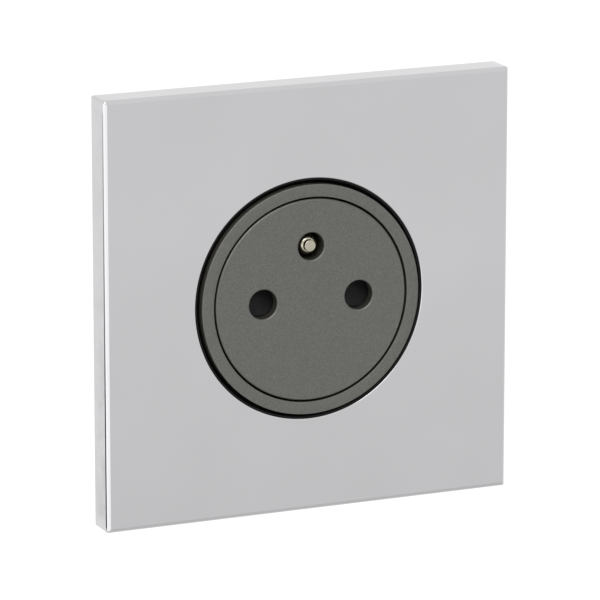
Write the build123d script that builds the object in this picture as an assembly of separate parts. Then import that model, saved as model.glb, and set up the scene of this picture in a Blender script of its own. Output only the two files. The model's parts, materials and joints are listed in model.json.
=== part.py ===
from build123d import *
import os

# Flush wall socket for round-pin plugs with a male earth pin, in millimetres.
# The wall's surface is y = 0, the room is at -Y, the wall box at +Y, and +Z is up.

# Cover plate
PLATE_SIZE = 80.0
PLATE_DEPTH = 6.0
PLATE_WALL = 1.0
PLATE_CORNER = 0.4  # rounding of the four corners
PLATE_EDGE = 0.8  # rounding of the front edge
OPENING_RADIUS = 22.45
OPENING_BEVEL = 0.25
RIM_RADIUS_INSIDE = 22.12  # the carrier's rim, which shows as a thin line inside the opening
RIM_SETBACK = 0.2

# Flush face: ring and disc
FACE_PROUD = 0.75  # the face stands this far in front of the plate
RING_RADIUS = 21.5
RING_THICKNESS = 1.5
DISC_RADIUS = 18.8
DISC_THICKNESS = 2.0
GROOVE = 0.4  # running gap between disc and ring
FACE_BEVEL = 0.2  # broken edges of the ring, the disc and its holes

# Plug: two pins on 19 mm centres, earth 10 mm above them
PIN_PITCH = 19.0
PIN_LENGTH = 19.0
PIN_HOLE_RADIUS = 2.775
PIN_RADIUS = 2.4
EARTH_HEIGHT = 10.0
EARTH_HOLE_RADIUS = 2.6
EARTH_PIN_RADIUS = 2.4
EARTH_TIP_RADIUS = 1.0
EARTH_TIP_SETBACK = 0.5  # tip behind the disc's face
RECESS_DEPTH = 15.0  # how far a plug pushes the disc in

# Well and contact housing
WELL_RADIUS = 20.0
WELL_WALL = 0.6
FLOOR_THICKNESS = 1.6
BODY_HALF = 20.6
BODY_CHAMFER = 8.0
BODY_WALL = 1.5
INNER_WALL = 1.2
PIN_END_ROOM = 2.85  # from the end of a plug's pin to the rear cover
COVER_THICKNESS = 3.5
FLANGE_HALF = 25.0
FLANGE_THICKNESS = 1.6
FLANGE_CHAMFER = 9.0

# Steel support and its fixing slots
FRAME_SIZE = 71.0
FRAME_THICKNESS = 1.2
FRAME_CORNER = 3.0
FRAME_OPENING_HALF = 22.6
FRAME_OPENING_CHAMFER = 7.0
FIXING_CENTRES = 60.0
SLOT_WIDTH = 4.2  # also the round holes' diameter
SLOT_LENGTH = 7.5
LUG_SIZE = 9.0
LUG_HEIGHT = 2.5
LUG_CENTRE = 29.5

# Springs
DISC_SPRING_RADIUS = 2.2
DISC_SPRING_WIRE = 0.5
DISC_SPRING_COILS = 5
SHUTTER_SPRING_RADIUS = 1.1
SHUTTER_SPRING_WIRE = 0.3
SHUTTER_SPRING_COILS = 4
POCKET_RADIUS = 2.8
POCKET_WALL = 0.7

# Shutter
SHUTTER_WIDTH = 26.0
SHUTTER_HEIGHT = 7.2
SHUTTER_THICKNESS = 3.0
SHUTTER_TRAVEL = 6.2
SHUTTER_SPRING_X = 6.5
SHUTTER_SPRING_SOLID = 3.5  # shutter spring's length when the shutter is fully down

# Contacts and terminals
CLIP_THICKNESS = 0.6
CLIP_GAP = 4.2
CLIP_HEIGHT = 6.0
SPRING_STRIP = 0.4
BUSBAR_X = 12.7  # inner face of a busbar, from the pin row's middle
WIRE_ENTRY_RADIUS = 1.9
WIRE_LEVELS = (-8.6, -14.0)
EARTH_WIRE_X = 4.0
EARTH_WIRE_Z = 14.6
SCREW_RADIUS = 1.1
SCREW_LENGTH = 9.0
SCREW_PLACES = ((-13.4, 12.0), (13.4, 12.0), (0.0, -14.8))

# Levels along Y, from the room into the wall
PLATE_FRONT = -PLATE_DEPTH
FACE_FRONT = PLATE_FRONT - FACE_PROUD
RING_BACK = FACE_FRONT + RING_THICKNESS
DISC_BACK = FACE_FRONT + DISC_THICKNESS
CARRIER_FRONT = DISC_BACK + SHUTTER_THICKNESS + 0.5
CARRIER_BACK = CARRIER_FRONT + 1.5
FLOOR_FRONT = CARRIER_BACK + RECESS_DEPTH + 0.25
FLOOR_BACK = FLOOR_FRONT + FLOOR_THICKNESS
COVER_FRONT = FACE_FRONT + RECESS_DEPTH + PIN_LENGTH + PIN_END_ROOM
COVER_BACK = COVER_FRONT + COVER_THICKNESS
EARTH_TIP = FACE_FRONT + EARTH_TIP_SETBACK
SHUTTER_FOOT = -SHUTTER_HEIGHT / 2 - SHUTTER_TRAVEL - SHUTTER_SPRING_SOLID

# Radii of the sliding fit between disc and well
RING_BORE = DISC_RADIUS + GROOVE
SLEEVE_RADIUS = WELL_RADIUS - 0.2
RIM_RADIUS = WELL_RADIUS - 0.4
RIB_RADIUS = DISC_RADIUS + 0.35
DISC_SPRING_PLACES = {
    "disc_spring_top_left": (-10.8, 10.2),
    "disc_spring_top_right": (10.8, 10.2),
    "disc_spring_bottom": (0.0, -14.7),
}
PIN_PLACES = ((-PIN_PITCH / 2, 0.0), (PIN_PITCH / 2, 0.0))
POST_PLACES = ((-15.6, -6.4), (15.6, -6.4))
LUG_PLACES = {
    "corner_lug_top_left": (-LUG_CENTRE, LUG_CENTRE),
    "corner_lug_top_right": (LUG_CENTRE, LUG_CENTRE),
    "corner_lug_bottom_left": (-LUG_CENTRE, -LUG_CENTRE),
    "corner_lug_bottom_right": (LUG_CENTRE, -LUG_CENTRE),
}
SIDES = (-1, 1)


def between(sketch, front, back):
    """Solid from a sketch seen from the room (x right, z up), from one level to another."""
    plane = Plane(origin=(0, back, 0), x_dir=(1, 0, 0), z_dir=(0, -1, 0))
    return extrude(plane * sketch, amount=back - front)


def at(places, sketch):
    """Copies of a sketch at places given as (x, z)."""
    return [Pos(x, z) * sketch for x, z in places]


def ring(outer, inner):
    return Circle(outer) - Circle(inner)


def turned(*points):
    """Solid of revolution about the Y axis, from (radius, y) points."""
    profile = make_face(Polyline(*points, close=True))
    return revolve(profile, Axis.Y)


def cut_square(half, chamfer_size):
    """Square with its four corners cut off."""
    square = Rectangle(2 * half, 2 * half)
    return chamfer(square.vertices(), chamfer_size)


def side_plane(x):
    """Plane across the socket at x, drawn as (y, z)."""
    return Plane(origin=(x, 0, 0), x_dir=(0, 1, 0), z_dir=(1, 0, 0))


def folded(plane, route, radius, thickness, width):
    """Strip of sheet metal folded along a route in a plane, and as wide as given across it."""
    line = FilletPolyline(*route, radius=radius)
    return extrude(plane * trace(line, line_width=thickness), amount=width)


def edges_at(solid, level):
    """Edges that lie wholly at one level of Y."""
    return solid.edges().filter_by_position(Axis.Y, level - 0.001, level + 0.001)


# Cover plate and its plastic carrier


def cover_plate():
    outside = between(Rectangle(PLATE_SIZE, PLATE_SIZE), PLATE_FRONT, 0)
    outside = fillet(edges_at(outside, PLATE_FRONT), PLATE_EDGE)
    corners = outside.edges().filter_by(Axis.Y)
    outside = fillet(corners, PLATE_CORNER)
    inner_size = PLATE_SIZE - 2 * PLATE_WALL
    inside = between(Rectangle(inner_size, inner_size), PLATE_FRONT + PLATE_WALL, 0)
    shell = outside - inside - between(Circle(OPENING_RADIUS), PLATE_FRONT, PLATE_FRONT + PLATE_WALL)
    round_edges = edges_at(shell, PLATE_FRONT).filter_by(GeomType.CIRCLE)
    return chamfer([edge for edge in round_edges if edge.radius > 1], OPENING_BEVEL)


def plate_carrier():
    clearance = 0.1
    size = PLATE_SIZE - 2 * PLATE_WALL - 2 * clearance
    rim_wall = 1.2
    web_front = PLATE_FRONT + PLATE_WALL
    web_back = web_front + 1.2
    rim_back = -0.3
    opening = Circle(RIM_RADIUS_INSIDE)
    web = between(Rectangle(size, size) - opening, web_front, web_back)
    rim_front = PLATE_FRONT + RIM_SETBACK
    opening_rim = between(ring(OPENING_RADIUS - 0.03, RIM_RADIUS_INSIDE), rim_front, web_front)
    rim_edges = edges_at(opening_rim, rim_front).sort_by(SortBy.RADIUS)
    web += chamfer(rim_edges[0], 0.15)
    rim_outline = Rectangle(size, size) - Rectangle(size - 2 * rim_wall, size - 2 * rim_wall)
    carrier = web + between(rim_outline, web_back, rim_back)
    # Four clips, each gripping the outer side of a corner lug with a small barb
    arm_width = 5.0
    arm_thickness = 1.1
    arm_x = LUG_CENTRE + LUG_SIZE / 2 + 0.15 + arm_thickness / 2
    barb = 0.45
    arm_back = -FRAME_THICKNESS - 0.15
    for side in SIDES:
        for height in (-LUG_CENTRE, LUG_CENTRE):
            arm = Pos(side * arm_x, height) * Rectangle(arm_thickness, arm_width)
            hook_x = side * (arm_x - barb / 2)
            hook = Pos(hook_x, height) * Rectangle(arm_thickness + barb, arm_width)
            carrier += between(arm, web_back, arm_back)
            carrier += between(hook, arm_back - 0.7, arm_back)
    # Ribs that stiffen the web between its opening and the rim
    for angle in range(0, 360, 45):
        rib = Rot(0, 0, angle) * Pos(30.0, 0) * Rectangle(8.0, 0.8)
        carrier += between(rib, web_back, web_back + 0.9)
    return carrier


# Steel support and the lugs moulded on its corners


def fixing_points():
    """Upright slots at left and right, for levelling, and round holes above and below."""
    reach = FIXING_CENTRES / 2
    slot = Rot(0, 0, 90) * SlotOverall(SLOT_LENGTH, SLOT_WIDTH)
    slots = [Pos(side * reach, 0) * slot for side in SIDES]
    return slots + [Pos(0, side * reach) * Circle(SLOT_WIDTH / 2) for side in SIDES]


def mounting_frame():
    outline = RectangleRounded(FRAME_SIZE, FRAME_SIZE, FRAME_CORNER)
    outline -= cut_square(FRAME_OPENING_HALF, FRAME_OPENING_CHAMFER)
    outline -= fixing_points()
    # Claw windows beside the left and right slots, and the lugs' peg holes
    window = Rectangle(3.0, 6.0)
    outline -= [Pos(side * 27.5, level) * window for side in SIDES for level in (-11.5, 11.5)]
    outline -= at(LUG_PLACES.values(), Circle(1.6))
    return between(outline, -FRAME_THICKNESS, 0)


def corner_lug(place):
    front = -FRAME_THICKNESS - LUG_HEIGHT
    lug = between(cut_square(LUG_SIZE / 2, 1.2), front, -FRAME_THICKNESS)
    peg = between(Circle(1.6), -FRAME_THICKNESS, 0)
    # Notches on both outer sides, where the carrier's barbs hold
    notch = Rectangle(0.6, 5.6)
    notches = [Pos(side * (LUG_SIZE / 2 - 0.3), 0) * notch for side in SIDES]
    recess = between(Sketch() + notches, -FRAME_THICKNESS - 1.1, -FRAME_THICKNESS)
    hollow = between(Rectangle(5.0, 5.0) - Rectangle(1.0, 5.0), front, front + 1.2)
    x, z = place
    return Pos(x, 0, z) * (lug + peg - recess - hollow)


# Ring and sliding disc


def bezel_ring():
    skirt_inner = WELL_RADIUS + WELL_WALL + 0.1
    skirt_outer = RING_RADIUS - 0.1
    skirt_back = -0.1
    sleeve_back = CARRIER_FRONT - 0.2
    body = turned(
        (RING_BORE, FACE_FRONT),
        (RING_RADIUS, FACE_FRONT),
        (RING_RADIUS, RING_BACK),
        (skirt_outer, RING_BACK),
        (skirt_outer, skirt_back),
        (skirt_inner, skirt_back),
        (skirt_inner, RING_BACK),
        (SLEEVE_RADIUS, RING_BACK),
        (SLEEVE_RADIUS, sleeve_back),
        (RING_BORE, sleeve_back),
    )
    return chamfer(edges_at(body, FACE_FRONT), FACE_BEVEL)


def spring_pockets(radius):
    return at(DISC_SPRING_PLACES.values(), Circle(radius))


def front_disc():
    skirt_wall = 1.2
    face = between(Circle(DISC_RADIUS), FACE_FRONT, DISC_BACK)
    skirt = between(ring(DISC_RADIUS, DISC_RADIUS - skirt_wall), DISC_BACK, CARRIER_FRONT)
    cups = Sketch() + spring_pockets(POCKET_RADIUS + POCKET_WALL)
    cups &= Circle(DISC_RADIUS)
    cups += Pos(0, EARTH_HEIGHT) * Circle(EARTH_HOLE_RADIUS + 1.1)
    cups += at(POST_PLACES, Circle(1.7))
    # Guides on both sides of the shutter's path
    guide_x = SHUTTER_WIDTH / 2 + 0.2 + 0.4
    cups += [Pos(side * guide_x, 0.4) * Rectangle(0.8, 8.0) for side in SIDES]
    pegs = between(Sketch() + at(POST_PLACES, Circle(1.0)), CARRIER_FRONT, CARRIER_BACK)
    disc = face + skirt + between(cups, DISC_BACK, CARRIER_FRONT) + pegs
    disc -= between(Sketch() + spring_pockets(POCKET_RADIUS), DISC_BACK, CARRIER_FRONT)
    holes = Pos(0, EARTH_HEIGHT) * Circle(EARTH_HOLE_RADIUS)
    disc -= between(holes, FACE_FRONT, CARRIER_FRONT)
    disc -= between(Sketch() + at(PIN_PLACES, Circle(PIN_HOLE_RADIUS)), FACE_FRONT, DISC_BACK)
    return chamfer(edges_at(disc, FACE_FRONT), FACE_BEVEL)


def shutter_carrier():
    outline = Circle(RIM_RADIUS)
    outline -= at(PIN_PLACES, Circle(PIN_RADIUS + 0.6))
    outline -= Pos(0, EARTH_HEIGHT) * Circle(EARTH_HOLE_RADIUS)
    outline -= spring_pockets(POCKET_RADIUS)
    outline -= at(POST_PLACES, Circle(1.0))
    # Notches that run on the well's two guide ribs
    notch_depth = RIM_RADIUS - RIB_RADIUS + 0.3
    notch_x = RIM_RADIUS - notch_depth / 2
    outline -= [Pos(side * notch_x, 0) * Rectangle(notch_depth + 0.2, 2.8) for side in SIDES]
    plate = between(outline, CARRIER_FRONT, CARRIER_BACK)
    # Stops that the shutter springs press on
    stop = Rectangle(3.4, 1.6)
    stops = [Pos(side * SHUTTER_SPRING_X, SHUTTER_FOOT - 0.9) * stop for side in SIDES]
    return plate + between(Sketch() + stops, DISC_BACK + 0.1, CARRIER_FRONT)


def shutter():
    front = DISC_BACK + 0.2
    back = front + SHUTTER_THICKNESS
    slider = between(Rectangle(SHUTTER_WIDTH, SHUTTER_HEIGHT), front, back)
    # Ramps under the pin holes: a pin that comes straight in drives the slider down
    ramp_width = 7.0
    top = SHUTTER_HEIGHT / 2
    ramp = Polyline((front, top), (front, -top + 1.2), (front + 2.0, top), close=True)
    for x, _ in PIN_PLACES:
        plane = Plane(origin=(x - ramp_width / 2, 0, 0), x_dir=(0, 1, 0), z_dir=(1, 0, 0))
        slider -= extrude(plane * make_face(ramp), amount=ramp_width)
    # Spring seats in the lower edge
    seat = Cylinder(SHUTTER_SPRING_RADIUS + 0.3, 1.5)
    middle = (front + back) / 2
    slider -= [Pos(side * SHUTTER_SPRING_X, middle, -top) * seat for side in SIDES]
    return slider


def coil_spring(radius, wire, coils, start, end):
    """Helical compression spring from one point to another, wire of square section."""
    axis = Vector(end) - Vector(start)
    length = axis.length - wire
    base = Vector(start) + axis.normalized() * (wire / 2)
    path = Helix(length / coils, length, radius, center=base, direction=axis)
    section = Plane(origin=path @ 0, z_dir=path % 0) * RegularPolygon(wire / 2, 4)
    return sweep(section, path=path, is_frenet=True)


def disc_spring(place):
    x, z = place
    start = (x, DISC_BACK + 0.05, z)
    end = (x, FLOOR_FRONT - 0.05, z)
    return coil_spring(DISC_SPRING_RADIUS, DISC_SPRING_WIRE, DISC_SPRING_COILS, start, end)


def shutter_spring(side):
    x = side * SHUTTER_SPRING_X
    middle = DISC_BACK + 0.2 + SHUTTER_THICKNESS / 2
    start = (x, middle, -SHUTTER_HEIGHT / 2 + 0.7)
    end = (x, middle, SHUTTER_FOOT - 0.05)
    return coil_spring(SHUTTER_SPRING_RADIUS, SHUTTER_SPRING_WIRE, SHUTTER_SPRING_COILS, start, end)


# Well and contact housing


def screw_bosses(radius):
    return at(SCREW_PLACES, Circle(radius))


def chamber_walls():
    """Walls that keep the live, neutral and earth chambers apart."""
    inner_half = BODY_HALF - BODY_WALL
    top = 6.6
    bottom = -inner_half
    upright = Rectangle(INNER_WALL, top - bottom)
    walls = [Pos(side * 3.9, (top + bottom) / 2) * upright for side in SIDES]
    shelf_width = inner_half - 3.9 + INNER_WALL / 2
    shelf = Rectangle(shelf_width, INNER_WALL)
    shelf_x = inner_half - shelf_width / 2
    walls += [Pos(side * shelf_x, top) * shelf for side in SIDES]
    return walls


def well_housing():
    tube_front = RING_BACK + 0.2
    outline = cut_square(BODY_HALF, BODY_CHAMFER)
    tube = between(ring(WELL_RADIUS + WELL_WALL, WELL_RADIUS), tube_front, FLOOR_FRONT)
    # Guide ribs that keep the disc from turning
    rib_depth = WELL_RADIUS - RIB_RADIUS
    rib = Rectangle(rib_depth + 0.2, 2.2)
    ribs = [Pos(side * (RIB_RADIUS + rib_depth / 2 + 0.1), 0) * rib for side in SIDES]
    tube += between(Sketch() + ribs, CARRIER_FRONT, FLOOR_FRONT)
    flange = cut_square(FLANGE_HALF, FLANGE_CHAMFER) - Circle(WELL_RADIUS + WELL_WALL / 2)
    housing = tube + between(flange, 0, FLANGE_THICKNESS)
    # Four stiffening webs between the flange and the chamber block
    web = Rectangle(4.6, 1.4)
    for angle in range(0, 360, 90):
        turned_web = Rot(0, 0, angle) * Pos(WELL_RADIUS + WELL_WALL + 2.0, 0) * web
        housing += between(turned_web, FLANGE_THICKNESS, FLOOR_FRONT)
    # Floor, with the pin and earth holes and a spigot inside each disc spring
    floor = outline - at(PIN_PLACES, Circle(PIN_RADIUS + 0.6))
    floor -= Pos(0, EARTH_HEIGHT) * Circle(EARTH_PIN_RADIUS)
    housing += between(floor, FLOOR_FRONT, FLOOR_BACK)
    spigots = Sketch() + at(DISC_SPRING_PLACES.values(), Circle(1.3))
    housing += between(spigots, FLOOR_FRONT - 2.0, FLOOR_FRONT)
    # Contact chambers, open to the rear
    shell = outline - offset(outline, -BODY_WALL)
    block = Sketch() + shell + chamber_walls() + screw_bosses(2.5)
    block &= outline
    block -= screw_bosses(SCREW_RADIUS)
    housing += between(block, FLOOR_BACK, COVER_FRONT)
    return housing + frame_latches()


def frame_latches():
    """Four hooks that reach through the support's opening and hold its front."""
    hook_width = 6.0
    arm_thickness = 0.6
    hook_front = -FRAME_THICKNESS - 0.9
    hook_back = -FRAME_THICKNESS - 0.05
    latches = Part()
    for angle in range(0, 360, 90):
        arm_x = FRAME_OPENING_HALF - 0.1 - arm_thickness / 2
        arm = Pos(arm_x, 0) * Rectangle(arm_thickness, hook_width)
        hook = Pos(FRAME_OPENING_HALF + 0.1, 0) * Rectangle(1.0, hook_width)
        latches += between(Rot(0, 0, angle) * arm, hook_front, 0)
        latches += between(Rot(0, 0, angle) * hook, hook_front, hook_back)
    return latches


def wire_entries():
    row_x = BUSBAR_X - WIRE_ENTRY_RADIUS
    rows = [(side * row_x, z) for side in SIDES for z in WIRE_LEVELS]
    return rows + [(side * EARTH_WIRE_X, EARTH_WIRE_Z) for side in SIDES]


def rear_cover():
    outline = cut_square(BODY_HALF, BODY_CHAMFER)
    cover = between(outline, COVER_FRONT, COVER_BACK)
    cover = chamfer(edges_at(cover, COVER_BACK), 0.8)
    entries = Sketch() + at(wire_entries(), Circle(WIRE_ENTRY_RADIUS))
    cover -= between(entries, COVER_FRONT, COVER_BACK)
    # Narrow slots beside the entries, for the blade that frees a wire
    release = Rectangle(1.0, 2.8)
    slots = [Pos(side * 7.6, z) * release for side in SIDES for z in WIRE_LEVELS]
    slots += [Pos(side * EARTH_WIRE_X, 10.4) * (Rot(0, 0, 90) * release) for side in SIDES]
    cover -= between(Sketch() + slots, COVER_FRONT, COVER_BACK)
    # Screw holes with flat counterbores
    screw_holes = Sketch() + screw_bosses(SCREW_RADIUS + 0.1)
    cover -= between(screw_holes, COVER_FRONT, COVER_BACK)
    return cover - between(Sketch() + screw_bosses(2.3), COVER_BACK - 1.6, COVER_BACK)


def cover_screws():
    head_back = COVER_BACK - 0.2
    head_front = COVER_BACK - 1.6
    shank_front = head_front - SCREW_LENGTH
    tip_front = shank_front - 1.0
    cross = Rectangle(2.4, 0.5) + Rectangle(0.5, 2.4)
    screw = turned(
        (0, head_back),
        (2.1, head_back),
        (2.1, head_front),
        (SCREW_RADIUS, head_front),
        (SCREW_RADIUS, shank_front),
        (0.3, tip_front),
        (0, tip_front),
    )
    screw -= between(cross, head_back - 0.8, head_back)
    return Compound(children=[Pos(x, 0, z) * screw for x, z in SCREW_PLACES])


# Earth pin, contacts and terminals


def earth_pin():
    collar_radius = 3.3
    collar_back = FLOOR_BACK + 1.0
    tail_radius = 1.5
    strap_back = collar_back + 0.8
    body = turned(
        (0, EARTH_TIP),
        (EARTH_TIP_RADIUS, EARTH_TIP),
        (EARTH_TIP_RADIUS + 0.4, EARTH_TIP + 0.15),
        (EARTH_TIP_RADIUS + 0.65, EARTH_TIP + 0.5),
        (EARTH_PIN_RADIUS, EARTH_TIP + 2.8),
        (EARTH_PIN_RADIUS, FLOOR_BACK),
        (collar_radius, FLOOR_BACK),
        (collar_radius, collar_back),
        (tail_radius, collar_back),
        (tail_radius, strap_back),
        (2.4, strap_back),
        (1.9, strap_back + 0.7),
        (0, strap_back + 0.7),
    )
    return Pos(0, 0, EARTH_HEIGHT) * body


def earth_strap():
    front = FLOOR_BACK + 1.0
    thickness = 0.8
    centre_y = front + thickness / 2
    top = BODY_HALF - BODY_WALL - 0.1 - thickness / 2
    route = [(centre_y, EARTH_HEIGHT - 2.6), (centre_y, top), (COVER_FRONT - 0.2, top)]
    strap = folded(side_plane(-7.5), route, thickness, thickness, 15.0)
    return strap - between(Pos(0, EARTH_HEIGHT) * Circle(1.5), front, front + thickness)


def contact_clip(side):
    """Two spring leaves that grip a plug pin; the outer one runs on as the busbar."""
    centre = side * PIN_PITCH / 2
    entry = FLOOR_BACK + 0.9
    throat = entry + 2.6
    back = COVER_FRONT - 0.9
    grip = (CLIP_GAP + CLIP_THICKNESS) / 2
    wide = PIN_RADIUS + 0.9 + CLIP_THICKNESS / 2
    leaves = [
        (centre - side * wide, entry),
        (centre - side * grip, throat),
        (centre - side * wide, back),
        (centre + side * wide, back),
        (centre + side * grip, throat),
        (centre + side * wide, entry),
    ]
    clip = folded(Plane.XY.offset(-CLIP_HEIGHT / 2), leaves, 0.6, CLIP_THICKNESS, CLIP_HEIGHT)
    outer = side * (BUSBAR_X + CLIP_THICKNESS / 2)
    busbar_depth = back - throat - 2.0
    busbar = Pos(outer, back - busbar_depth / 2, -6.6) * Box(CLIP_THICKNESS, busbar_depth, 19.2)
    return clip + busbar


def clamp_spring(side):
    """Leaf of a push-in terminal: one leg on the chamber wall, two tongues on the busbar."""
    wall_x = 5.0
    front = FLOOR_BACK + 2.0
    back = COVER_FRONT - 0.9
    points = [
        (side * wall_x, front),
        (side * wall_x, back),
        (side * (wall_x + 1.8), back),
        (side * (BUSBAR_X - 0.25), front + 3.2),
    ]
    leaf = folded(Plane.XY.offset(-16.6), points, 0.7, SPRING_STRIP, 10.2)
    slit = Pos(side * 10.2, (front + back) / 2, -11.4) * Box(6.4, back - front, 0.8)
    return leaf - slit


def earth_clamp_spring():
    wall_z = 8.0
    front = FLOOR_BACK + 4.0
    back = COVER_FRONT - 0.9
    busbar_z = BODY_HALF - BODY_WALL - 0.9
    points = [
        (front, wall_z),
        (back, wall_z),
        (back, wall_z + 1.6),
        (front + 2.2, busbar_z - 0.25),
    ]
    leaf = folded(side_plane(-6.0), points, 0.7, SPRING_STRIP, 12.0)
    slit = Pos(0, (front + back) / 2, 14.2) * Box(0.8, back - front, 8.6)
    return leaf - slit


def pieces():
    """Every separate piece, by its node's name."""
    found = {
        "cover_plate": cover_plate(),
        "plate_carrier": plate_carrier(),
        "mounting_frame": mounting_frame(),
        "bezel_ring": bezel_ring(),
        "front_disc": front_disc(),
        "shutter_carrier": shutter_carrier(),
        "shutter": shutter(),
        "shutter_spring_left": shutter_spring(-1),
        "shutter_spring_right": shutter_spring(1),
        "well_housing": well_housing(),
        "rear_cover": rear_cover(),
        "cover_screws": cover_screws(),
        "earth_pin": earth_pin(),
        "earth_strap": earth_strap(),
        "live_contact": contact_clip(-1),
        "neutral_contact": contact_clip(1),
        "live_clamp_spring": clamp_spring(-1),
        "neutral_clamp_spring": clamp_spring(1),
        "earth_clamp_spring": earth_clamp_spring(),
    }
    for name, place in LUG_PLACES.items():
        found[name] = corner_lug(place)
    for name, place in DISC_SPRING_PLACES.items():
        found[name] = disc_spring(place)
    return found


os.makedirs("parts", exist_ok=True)
for name, piece in pieces().items():
    export_step(piece, "parts/" + name + ".step")
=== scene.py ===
import json
from math import cos, pi, radians, sin, sqrt, tan, tau

import bmesh
import bpy
from mathutils import Matrix, Vector

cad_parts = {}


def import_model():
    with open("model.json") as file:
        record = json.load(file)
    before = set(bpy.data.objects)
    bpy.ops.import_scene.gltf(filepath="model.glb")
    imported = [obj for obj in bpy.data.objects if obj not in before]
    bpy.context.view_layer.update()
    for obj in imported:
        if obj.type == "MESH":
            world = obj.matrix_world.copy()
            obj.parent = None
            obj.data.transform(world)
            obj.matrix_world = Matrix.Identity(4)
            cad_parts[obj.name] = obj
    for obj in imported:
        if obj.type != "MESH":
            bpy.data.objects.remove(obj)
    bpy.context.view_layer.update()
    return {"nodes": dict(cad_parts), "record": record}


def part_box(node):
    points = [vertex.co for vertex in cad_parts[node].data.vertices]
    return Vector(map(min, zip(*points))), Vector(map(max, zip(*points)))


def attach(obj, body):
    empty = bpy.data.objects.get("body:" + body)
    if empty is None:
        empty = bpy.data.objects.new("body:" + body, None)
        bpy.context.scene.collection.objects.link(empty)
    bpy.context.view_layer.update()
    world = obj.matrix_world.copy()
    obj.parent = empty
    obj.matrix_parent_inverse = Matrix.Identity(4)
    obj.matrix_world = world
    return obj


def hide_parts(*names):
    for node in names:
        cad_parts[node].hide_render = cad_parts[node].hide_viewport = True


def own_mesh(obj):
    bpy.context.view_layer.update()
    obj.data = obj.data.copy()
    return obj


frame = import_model()

# Millimetres to Blender's metres
MM = 0.001

# Camera: where it stands and looks, from the photograph's perspective
EYE = Vector((-0.35755, -0.81972, 0.21826))
LOOK_TURN = 0.412  # radians from +Y towards +X
LOOK_DOWN = 0.241
LENS = 300.9
SENSOR = 36.0

FLOOR_LEVEL = -0.25

# Cover plate, in millimetres
PLATE_CORNER = 0.4
PLATE_EDGE = 0.8
PLATE_WALL = 1.0
OPENING_RADIUS = 22.45
OPENING_ROUNDING = 0.3

# Ring and disc, in millimetres
FACE_ROUNDING = 0.15

# Earth pin, in millimetres
EARTH_TIP_RADIUS = 1.1


# Node material helpers


def new_material(name):
    """A node material and its Principled shader."""
    material = bpy.data.materials.new(name)
    material.use_nodes = True
    return material, material.node_tree.nodes["Principled BSDF"]


def add_node(owner, kind, **settings):
    node = owner.node_tree.nodes.new(kind)
    for key, value in settings.items():
        setattr(node, key, value)
    return node


def connect(owner, output, target):
    owner.node_tree.links.new(output, target)


def place(owner, scale=(1, 1, 1)):
    """Object coordinates, stretched by a scale."""
    coordinates = add_node(owner, "ShaderNodeTexCoord")
    mapping = add_node(owner, "ShaderNodeMapping")
    mapping.inputs["Scale"].default_value = scale
    connect(owner, coordinates.outputs["Object"], mapping.inputs["Vector"])
    return mapping.outputs["Vector"]


def noise(owner, size_mm, detail=3.0, stretch=(1, 1, 1)):
    """Noise whose features are about size_mm across."""
    texture = add_node(owner, "ShaderNodeTexNoise")
    texture.inputs["Scale"].default_value = 1.0
    texture.inputs["Detail"].default_value = detail
    scale = [factor / (size_mm * MM) for factor in stretch]
    connect(owner, place(owner, scale), texture.inputs["Vector"])
    return texture.outputs["Fac"]


def ramp(owner, source, stops):
    """Colour ramp from (position, colour) stops."""
    node = add_node(owner, "ShaderNodeValToRGB")
    elements = node.color_ramp.elements
    while len(elements) < len(stops):
        elements.new(0.5)
    for element, (position, colour) in zip(elements, stops):
        element.position = position
        element.color = (*colour, 1.0)
    connect(owner, source, node.inputs["Fac"])
    return node.outputs["Color"]


def span(owner, source, low, high, start=0.33, end=0.67):
    """Number that goes from low to high as the source goes from start to end."""
    node = add_node(owner, "ShaderNodeMapRange")
    node.inputs["From Min"].default_value = start
    node.inputs["From Max"].default_value = end
    node.inputs["To Min"].default_value = low
    node.inputs["To Max"].default_value = high
    connect(owner, source, node.inputs["Value"])
    return node.outputs["Result"]


def mixed(owner, share, first, second):
    """Colour between two sources."""
    node = add_node(owner, "ShaderNodeMix", data_type="RGBA")
    connect(owner, share, node.inputs["Factor"])
    connect(owner, first, node.inputs[6])
    connect(owner, second, node.inputs[7])
    return node.outputs[2]


def depth(owner):
    """Distance along Y, in metres, in the object's own frame."""
    split = add_node(owner, "ShaderNodeSeparateXYZ")
    connect(owner, place(owner), split.inputs[0])
    return split.outputs["Y"]


def bump(owner, shader, source, height_mm):
    node = add_node(owner, "ShaderNodeBump")
    node.inputs["Distance"].default_value = height_mm * MM
    node.inputs["Strength"].default_value = 1.0
    connect(owner, source, node.inputs["Height"])
    connect(owner, node.outputs["Normal"], shader.inputs["Normal"])


def shade(value):
    return (value, value, value)


# Materials


def chrome():
    """Polished plating: almost a mirror, with the faint waves of pressed sheet."""
    material, shader = new_material("polished_chrome")
    cloud = noise(material, 18.0)
    tones = [(0.3, (0.582, 0.580, 0.592)), (0.7, (0.597, 0.595, 0.608))]
    connect(material, ramp(material, cloud, tones), shader.inputs["Base Color"])
    shader.inputs["Metallic"].default_value = 1.0
    polish = noise(material, 3.0, detail=5.0)
    connect(material, span(material, polish, 0.045, 0.075), shader.inputs["Roughness"])
    bump(material, shader, noise(material, 9.0, detail=1.0), 0.0015)
    return material


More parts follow.
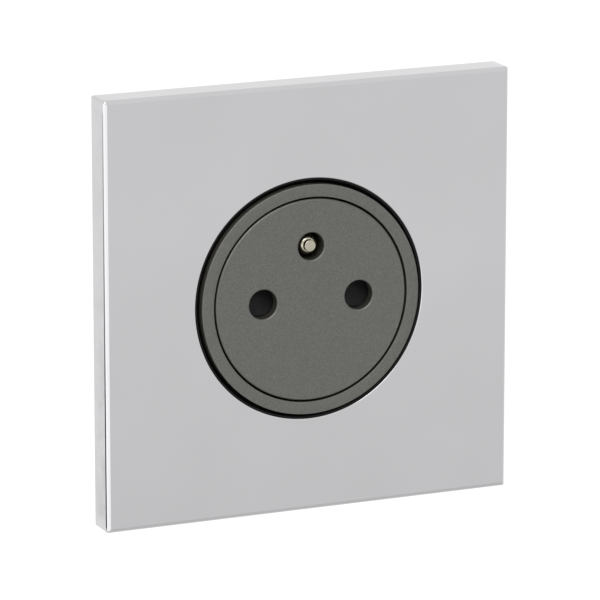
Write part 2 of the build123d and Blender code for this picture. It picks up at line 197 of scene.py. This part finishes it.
def graphite():
    """Sprayed graphite with a fine metallic fleck; inside gaps and holes, behind the front face, the
    colour turns to a painted shade.
    """
    material, shader = new_material("graphite_fleck")
    fleck = noise(material, 0.22, detail=2.0)
    dark, middle, light = (0.098, 0.100, 0.089), (0.119, 0.122, 0.109), (0.150, 0.153, 0.138)
    paint = ramp(material, fleck, [(0.30, dark), (0.52, middle), (0.72, light)])
    # Painted shade: gaps and holes go dark by depth behind the front face, standing in for the shade that
    # falls there
    painted_shade_tones = [(0.3, (0.027, 0.025, 0.020)), (0.7, (0.034, 0.032, 0.026))]
    painted_shade = ramp(material, noise(material, 2.0), painted_shade_tones)
    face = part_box("front_disc")[0].y
    painted_shade_fade = {"start": face + 0.1 * MM, "end": face + 0.3 * MM}
    painted_shade_share = span(material, depth(material), 0.0, 1.0, **painted_shade_fade)
    connect(material, mixed(material, painted_shade_share, paint, painted_shade), shader.inputs["Base Color"])
    metal = span(material, depth(material), 0.15, 0.0, **painted_shade_fade)
    connect(material, metal, shader.inputs["Metallic"])
    connect(material, span(material, noise(material, 0.3), 0.42, 0.54), shader.inputs["Roughness"])
    bump(material, shader, noise(material, 0.25, detail=4.0), 0.004)
    return material


def moulded(name, low, high, specular=0.5):
    """Plain moulded plastic with a fine eroded texture."""
    material, shader = new_material(name)
    cloud = noise(material, 6.0, detail=4.0)
    connect(material, ramp(material, cloud, [(0.35, low), (0.65, high)]), shader.inputs["Base Color"])
    connect(material, span(material, noise(material, 1.0), 0.45, 0.6), shader.inputs["Roughness"])
    shader.inputs["Specular IOR Level"].default_value = specular
    bump(material, shader, noise(material, 0.12, detail=4.0), 0.006)
    return material


def sheet_metal(name, low, high, stretch=(1, 1, 0.05)):
    """Rolled or drawn metal, with its grain along one way."""
    material, shader = new_material(name)
    grain = noise(material, 0.15, detail=3.0, stretch=stretch)
    connect(material, ramp(material, grain, [(0.35, low), (0.65, high)]), shader.inputs["Base Color"])
    shader.inputs["Metallic"].default_value = 1.0
    connect(material, span(material, grain, 0.25, 0.4), shader.inputs["Roughness"])
    bump(material, shader, grain, 0.002)
    return material


def nickel():
    """Bright nickel on turned brass, warm in tone."""
    material, shader = new_material("nickel_turned")
    grain = noise(material, 0.2, detail=3.0, stretch=(1, 0.2, 1))
    tones = [(0.35, (0.45, 0.42, 0.335)), (0.65, (0.52, 0.485, 0.395))]
    connect(material, ramp(material, grain, tones), shader.inputs["Base Color"])
    shader.inputs["Metallic"].default_value = 1.0
    connect(material, span(material, grain, 0.09, 0.13), shader.inputs["Roughness"])
    bump(material, shader, grain, 0.001)
    return material


MATERIALS = {
    "chromed_metal": chrome(),
    "graphite_plastic": graphite(),
    "black_plastic": moulded("black_moulding", shade(0.008), shade(0.012), specular=0.2),
    "grey_plastic": moulded("grey_moulding", (0.235, 0.235, 0.245), (0.255, 0.255, 0.265)),
    "zinc_steel": sheet_metal("zinc_sheet", (0.42, 0.43, 0.44), (0.56, 0.57, 0.58)),
    "nickel_brass": nickel(),
    "bronze_strip": sheet_metal("bronze_strip", (0.50, 0.30, 0.13), (0.60, 0.38, 0.18)),
    "spring_steel": sheet_metal("spring_steel", (0.36, 0.36, 0.37), (0.48, 0.48, 0.49), stretch=(1, 1, 1)),
}


def dress_nodes():
    """Each CAD node gets the material of its slot."""
    for part in frame["record"]["subparts"]:
        node = frame["nodes"][part["node"]]
        node.data.materials.clear()
        node.data.materials.append(MATERIALS[part["material_slot"]])


# Meshes made of closed loops of points, each joined to the next


def loops_mesh(name, loops, closed, sharp_degrees=40):
    """Skin over loops of equal length; a closed one runs from the last loop back to the first."""
    count = len(loops[0])
    vertices = [point for loop in loops for point in loop]
    faces = []
    pairs = len(loops) if closed else len(loops) - 1
    for row in range(pairs):
        first = row * count
        second = (row + 1) % len(loops) * count
        for index in range(count):
            following = (index + 1) % count
            faces.append((first + index, first + following, second + following, second + index))
    if not closed:
        faces.append(tuple(range(count - 1, -1, -1)))
        last = (len(loops) - 1) * count
        faces.append(tuple(last + index for index in range(count)))
    mesh = bpy.data.meshes.new(name)
    mesh.from_pydata(vertices, [], faces)
    skin = bmesh.new()
    skin.from_mesh(mesh)
    bmesh.ops.recalc_face_normals(skin, faces=skin.faces)
    skin.to_mesh(mesh)
    skin.free()
    mesh.shade_smooth()
    mesh.set_sharp_from_angle(angle=radians(sharp_degrees))
    return mesh


def body_with(node):
    """Name of the body that a node moves with."""
    bodies = frame["record"]["behaviour"]["bodies"]
    return next(body for body, nodes in bodies.items() if node in nodes)


def add_piece(name, mesh, node, slot):
    """New piece in place of a CAD node, on the same body and with its slot's material."""
    mesh.materials.append(MATERIALS[slot])
    piece = bpy.data.objects.new(name, mesh)
    bpy.context.scene.collection.objects.link(piece)
    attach(piece, body_with(node))
    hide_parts(node)
    return piece


def quarter(steps):
    """Shares of a quarter round: (how far inwards, how far along) from its start to its end."""
    for step in range(steps + 1):
        angle = pi / 2 * step / steps
        yield 1 - cos(angle), sin(angle)


def lathe(name, profile, middle, sides=256, closed=True):
    """Turned form about the Y axis through a middle point, from (radius, y) in millimetres."""
    loops = []
    for radius, level in profile:
        loop = []
        for index in range(sides):
            angle = tau * index / sides
            x = middle.x + radius * MM * cos(angle)
            z = middle.z + radius * MM * sin(angle)
            loop.append((x, level * MM, z))
        loops.append(loop)
    return loops_mesh(name, loops, closed)


def plate_directions():
    """Angles at which the plate's loops have their points, closer together at the corners."""
    corner_at = 45.0
    corner_half = 0.72 * PLATE_CORNER  # half of the angle that a rounded corner spans, degrees
    straight_steps, corner_steps = 50, 6
    reach = corner_at - corner_half
    angles = []
    for side in range(4):
        for step in range(straight_steps):
            angles.append(90 * side - reach + 2 * reach * step / straight_steps)
        for step in range(corner_steps):
            angles.append(90 * side + reach + 2 * corner_half * step / corner_steps)
    return [radians(angle) for angle in angles]


def square_loop(half, corner, level):
    """Rounded square at one level of Y, met by a ray in each direction."""
    corner = max(corner, 0.02)
    loop = []
    for angle in plate_directions():
        # The ray in the first eighth of the square, where the side is at x = half
        sector = round(angle / (pi / 2)) * pi / 2
        local = angle - sector
        x, z = half, half * tan(local)
        flat = half - corner
        if abs(z) > flat:
            # Where the ray meets the corner's arc, centred at (flat, flat)
            along, up = cos(local), abs(sin(local))
            middle = flat * (along + up)
            reach = middle + sqrt(max(middle * middle - 2 * flat * flat + corner * corner, 0.0))
            x, z = reach * along, reach * sin(local)
        turned_x = x * cos(sector) - z * sin(sector)
        turned_z = x * sin(sector) + z * cos(sector)
        loop.append((turned_x * MM, level * MM, turned_z * MM))
    return loop


def circle_loop(radius, level):
    """Circle at one level of Y, with its points in the same directions."""
    reach, y = radius * MM, level * MM
    return [(reach * cos(angle), y, reach * sin(angle)) for angle in plate_directions()]


def cover_plate():
    """Pressed shell: side, rounded edge, face and rounded opening, then back along the inside."""
    low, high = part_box("cover_plate")
    half = high.x / MM
    front = low.y / MM
    guard = 0.05  # a narrow flat band beside each rounding keeps its shading off the flat
    loops = [square_loop(half, PLATE_CORNER, 0.0)]
    loops.append(square_loop(half, PLATE_CORNER, front + PLATE_EDGE + guard))
    for inwards, along in quarter(12):
        inset = PLATE_EDGE * inwards
        level = front + PLATE_EDGE * (1 - along)
        loops.append(square_loop(half - inset, PLATE_CORNER - inset, level))
    loops.append(square_loop(half - PLATE_EDGE - guard, PLATE_CORNER - PLATE_EDGE, front))
    round_start = OPENING_RADIUS + OPENING_ROUNDING
    loops.append(circle_loop(round_start + guard, front))
    for inwards, along in quarter(10):
        radius = round_start - OPENING_ROUNDING * along
        loops.append(circle_loop(radius, front + OPENING_ROUNDING * inwards))
    loops.append(circle_loop(OPENING_RADIUS, front + PLATE_WALL))
    inner_half, inner_corner = half - PLATE_WALL, 0.3
    loops.append(square_loop(inner_half, inner_corner, front + PLATE_WALL))
    loops.append(square_loop(inner_half, inner_corner, 0.0))
    mesh = loops_mesh("cover_plate_shell", loops, True)
    return add_piece("cover_plate_shell", mesh, "cover_plate", "chromed_metal")


def rounded_front(outer, inner, front, rounding):
    """Profile points over a flat ring's front, from its outer wall to its inner one."""
    points = []
    for inwards, along in quarter(5):
        points.append((outer - rounding * inwards, front + rounding * (1 - along)))
    for inwards, along in quarter(5):
        points.append((inner + rounding * (1 - along), front + rounding * inwards))
    return points


def bezel_ring():
    """Moulded ring with its skirt and sleeve."""
    low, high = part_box("bezel_ring")
    radius = high.x / MM
    front, back = low.y / MM, high.y / MM
    rim_depth, skirt_setback = 1.5, 0.1
    rim_back = front + rim_depth
    bore, sleeve, sleeve_back = 19.2, 19.8, -1.45
    skirt_inner, skirt_outer = 20.7, radius - skirt_setback
    profile = [(radius, rim_back)]
    profile += rounded_front(radius, bore, front, FACE_ROUNDING)
    profile += [(bore, sleeve_back), (sleeve, sleeve_back), (sleeve, rim_back), (skirt_inner, rim_back)]
    profile += [(skirt_inner, back), (skirt_outer, back), (skirt_outer, rim_back)]
    mesh = lathe("bezel_ring_rounded", profile, Vector((0, 0, 0)))
    return add_piece("bezel_ring_rounded", mesh, "bezel_ring", "graphite_plastic")


def earth_pin():
    """Turned pin: a small flat button, a sloping shoulder, a slim nose, then shank, collar and tail."""
    low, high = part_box("earth_pin")
    middle = (low + high) / 2
    tip, tail = low.y / MM, high.y / MM
    shank, collar, stem, rivet, rivet_bevel = 2.4, 3.3, 1.5, 2.4, 0.5
    button_rounding, step_depth = 0.14, 0.7
    profile = []
    for inwards, along in quarter(4):
        radius = EARTH_TIP_RADIUS - button_rounding * (1 - along)
        profile.append((radius, tip + button_rounding * inwards))
    # The shoulder is a shallow cone that grows steeper outwards
    shoulder, shoulder_width, shoulder_depth = tip + step_depth, 0.5, 0.28
    groove = EARTH_TIP_RADIUS + 0.04
    shoulder_steps = 10
    for step in range(shoulder_steps + 1):
        share = step / shoulder_steps
        profile.append((groove + shoulder_width * share, shoulder + shoulder_depth * share ** 1.5))
    nose_start, nose_length = groove + shoulder_width, 2.0
    nose_gain = shank - nose_start
    nose_steps = 8
    for step in range(1, nose_steps + 1):
        share = step / nose_steps
        level = shoulder + shoulder_depth + nose_length * share
        profile.append((nose_start + nose_gain * sin(pi / 2 * share), level))
    collar_front, collar_back, rivet_front = tail - 2.5, tail - 1.5, tail - 0.7
    profile += [(shank, collar_front), (collar, collar_front), (collar, collar_back)]
    profile += [(stem, collar_back), (stem, rivet_front), (rivet, rivet_front)]
    profile.append((rivet - rivet_bevel, tail))
    mesh = lathe("earth_pin_turned", profile, middle, sides=96, closed=False)
    return add_piece("earth_pin_turned", mesh, "earth_pin", "nickel_brass")


# Springs, as round wire in place of the CAD ones


def helix_mesh(name, start, end, radius, wire, coils):
    """Compression spring of round wire with closed ends, from start to end."""
    around, per_coil = 10, 36
    closed_turns = 0.8
    axis = (end - start).normalized()
    side = axis.orthogonal().normalized()
    other = axis.cross(side)
    open_length = (end - start).length - wire - 2 * closed_turns * wire
    open_turns = coils - 2 * closed_turns
    steps = per_coil * coils
    loops = []
    for step in range(steps + 1):
        turns = coils * step / steps
        out = side * cos(tau * turns) + other * sin(tau * turns)
        # The first and last turns lie closed, and the rest share the length between them
        first = min(turns, closed_turns)
        last = max(turns - coils + closed_turns, 0.0)
        rise = (turns - first - last) / open_turns * open_length
        height = wire / 2 + (first + last) * wire + rise
        loop = []
        for index in range(around):
            angle = tau * index / around
            offset = out * (radius + wire / 2 * cos(angle)) + axis * (wire / 2 * sin(angle) + height)
            loop.append(start + offset)
        loops.append(loop)
    return loops_mesh(name, loops, False, sharp_degrees=60)


def add_spring(node, axis_index, wire, coils):
    """A round-wire spring in place of a CAD one."""
    low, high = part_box(node)
    middle = (low + high) / 2
    start, end = middle.copy(), middle.copy()
    start[axis_index] = low[axis_index]
    end[axis_index] = high[axis_index]
    cross = (axis_index + 1) % 3
    radius = (high[cross] - low[cross] - wire) / 2
    mesh = helix_mesh(node + "_wire", start, end, radius, wire, coils)
    spring = add_piece(node + "_wire", mesh, node, "spring_steel")
    axis = Vector((0, 0, 0))
    axis[axis_index] = 1.0
    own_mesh(spring)


def springs():
    for name in ("disc_spring_top_left", "disc_spring_top_right", "disc_spring_bottom"):
        add_spring(name, 1, 0.5 * MM, 7)
    for name in ("shutter_spring_left", "shutter_spring_right"):
        add_spring(name, 2, 0.3 * MM, 6)


# Studio


def light_path_share(owner):
    """1 for camera, glossy and transmission rays, and 0 for the rest."""
    path = add_node(owner, "ShaderNodeLightPath")
    first = add_node(owner, "ShaderNodeMath", operation="MAXIMUM")
    second = add_node(owner, "ShaderNodeMath", operation="MAXIMUM")
    connect(owner, path.outputs["Is Camera Ray"], first.inputs[0])
    connect(owner, path.outputs["Is Glossy Ray"], first.inputs[1])
    connect(owner, first.outputs[0], second.inputs[0])
    connect(owner, path.outputs["Is Transmission Ray"], second.inputs[1])
    return second.outputs[0]


def distance_from(owner, point, reach):
    """Share of a reach that a place lies away from a point."""
    coordinates = add_node(owner, "ShaderNodeTexCoord")
    apart = add_node(owner, "ShaderNodeVectorMath", operation="DISTANCE")
    apart.inputs[1].default_value = point
    connect(owner, coordinates.outputs["Object"], apart.inputs[0])
    share = add_node(owner, "ShaderNodeMath", operation="DIVIDE")
    share.inputs[1].default_value = reach
    connect(owner, apart.outputs["Value"], share.inputs[0])
    return share.outputs[0]


def floor():
    """Pale floor that keeps the object's shadow; its glow is white behind and carries a painted shadow,
    greyer under the front, for the metal to mirror.
    """
    bpy.ops.mesh.primitive_plane_add(size=30.0, location=(0, 0, FLOOR_LEVEL))
    plane = bpy.context.object
    plane.name = "studio_floor"
    material, shader = new_material("studio_floor")
    tone = ramp(material, noise(material, 400.0), [(0.3, shade(0.86)), (0.7, shade(0.88))])
    connect(material, tone, shader.inputs["Base Color"])
    shader.inputs["Roughness"].default_value = 0.9
    shader.inputs["Specular IOR Level"].default_value = 0.0
    glow = add_node(material, "ShaderNodeEmission")
    # Painted shadow: the glow is darker near the object's front and rises to white farther off
    painted_shadow_distance = distance_from(material, (0.15, -0.25, 0.0), 1.0)
    tones = [(0.18, shade(0.70)), (0.42, shade(0.905)), (0.72, shade(0.965)), (0.82, shade(1.0))]
    connect(material, ramp(material, painted_shadow_distance, tones), glow.inputs["Color"])
    # The glow is also brighter behind than in front
    strength = span(material, depth(material), 1.02, 1.15, start=-0.6, end=0.3)
    connect(material, strength, glow.inputs["Strength"])
    mix = add_node(material, "ShaderNodeMixShader")
    share = add_node(material, "ShaderNodeMath", operation="MULTIPLY")
    share.inputs[1].default_value = 0.85
    connect(material, light_path_share(material), share.inputs[0])
    connect(material, share.outputs[0], mix.inputs["Fac"])
    connect(material, shader.outputs[0], mix.inputs[1])
    connect(material, glow.outputs[0], mix.inputs[2])
    output = material.node_tree.nodes["Material Output"]
    connect(material, mix.outputs[0], output.inputs["Surface"])
    plane.data.materials.append(material)


def world():
    """White surround for what the camera and the metal see, softer for what it lights."""
    studio = bpy.data.worlds.new("studio")
    bpy.context.scene.world = studio
    studio.use_nodes = True
    background = studio.node_tree.nodes["Background"]
    background.inputs["Color"].default_value = (1, 1, 1, 1)
    strength = span(studio, light_path_share(studio), 0.47, 1.0, start=0.0, end=1.0)
    connect(studio, strength, background.inputs["Strength"])


def card(name, start, end, distance, bottom, top, glow_along, glow_stops, steps=48):
    """Upright curved card round the object, between two compass angles, never seen by the camera.

    Its glow changes along one axis between two (place, strength) stops."""
    mesh = bpy.data.meshes.new(name)
    vertices = []
    for step in range(steps + 1):
        angle = radians(start + (end - start) * step / steps)
        for level in (bottom, top):
            vertices.append((distance * cos(angle), distance * sin(angle), level))
    faces = [(2 * step, 2 * step + 1, 2 * step + 3, 2 * step + 2) for step in range(steps)]
    mesh.from_pydata(vertices, [], faces)
    material = bpy.data.materials.new(name)
    material.use_nodes = True
    tree = material.node_tree
    tree.nodes.remove(tree.nodes["Principled BSDF"])
    glow = add_node(material, "ShaderNodeEmission")
    split = add_node(material, "ShaderNodeSeparateXYZ")
    connect(material, place(material), split.inputs[0])
    (first, first_glow), (last, last_glow) = glow_stops
    strength = span(material, split.outputs[glow_along], first_glow, last_glow, start=first, end=last)
    connect(material, strength, glow.inputs["Strength"])
    connect(material, glow.outputs[0], tree.nodes["Material Output"].inputs["Surface"])
    mesh.materials.append(material)
    panel = bpy.data.objects.new(name, mesh)
    panel.visible_camera = False
    bpy.context.scene.collection.objects.link(panel)


def area_light(name, direction, along, distance, width, height, radiance):
    """Rectangular soft light aimed at the object from a direction, with its width laid along another."""
    data = bpy.data.lights.new(name, "AREA")
    data.shape = "RECTANGLE"
    data.size = width
    data.size_y = height
    data.energy = radiance * width * height * pi
    light = bpy.data.objects.new(name, data)
    back = Vector(direction).normalized()
    side = Vector(along).normalized()
    side = (side - back * back.dot(side)).normalized()
    turn = Matrix((side, back.cross(side), back)).transposed()
    light.rotation_euler = turn.to_euler()
    light.location = back * distance
    light.visible_camera = False
    bpy.context.scene.collection.objects.link(light)
    return light


def lights():
    """Key from the top left, softbox in front, and cards for the plate's left edge to mirror."""
    area_light("key_top_left", (-0.42, -0.42, 0.80), (0.92, 0.17, 0.36), 1.2, 1.25, 0.45, 5.6)
    area_light("softbox_front", (-0.22, -0.78, 0.55), (1, 0, 0), 1.1, 0.55, 0.26, 2.4)
    card("panel_left", 154, 268, 0.66, -0.245, -0.02, "Y", ((-0.6, 1.47), (0.3, 1.70)))
    card("flag_left", 115.5, 162, 0.62, -0.245, -0.075, "Z", ((-0.18, 0.0), (-0.075, 0.85)))


def camera():
    data = bpy.data.cameras.new("camera")
    data.lens = LENS
    data.sensor_width = SENSOR
    data.clip_start = 0.05
    data.clip_end = 100.0
    holder = bpy.data.objects.new("camera", data)
    forward = Vector((sin(LOOK_TURN) * cos(LOOK_DOWN), cos(LOOK_TURN) * cos(LOOK_DOWN), -sin(LOOK_DOWN)))
    holder.location = EYE
    holder.rotation_euler = forward.to_track_quat("-Z", "Y").to_euler()
    bpy.context.scene.collection.objects.link(holder)
    bpy.context.scene.camera = holder


camera()
dress_nodes()
cover_plate()
bezel_ring()
earth_pin()
springs()
floor()
world()
lights()
bpy.context.scene.view_settings.view_transform = "Standard"
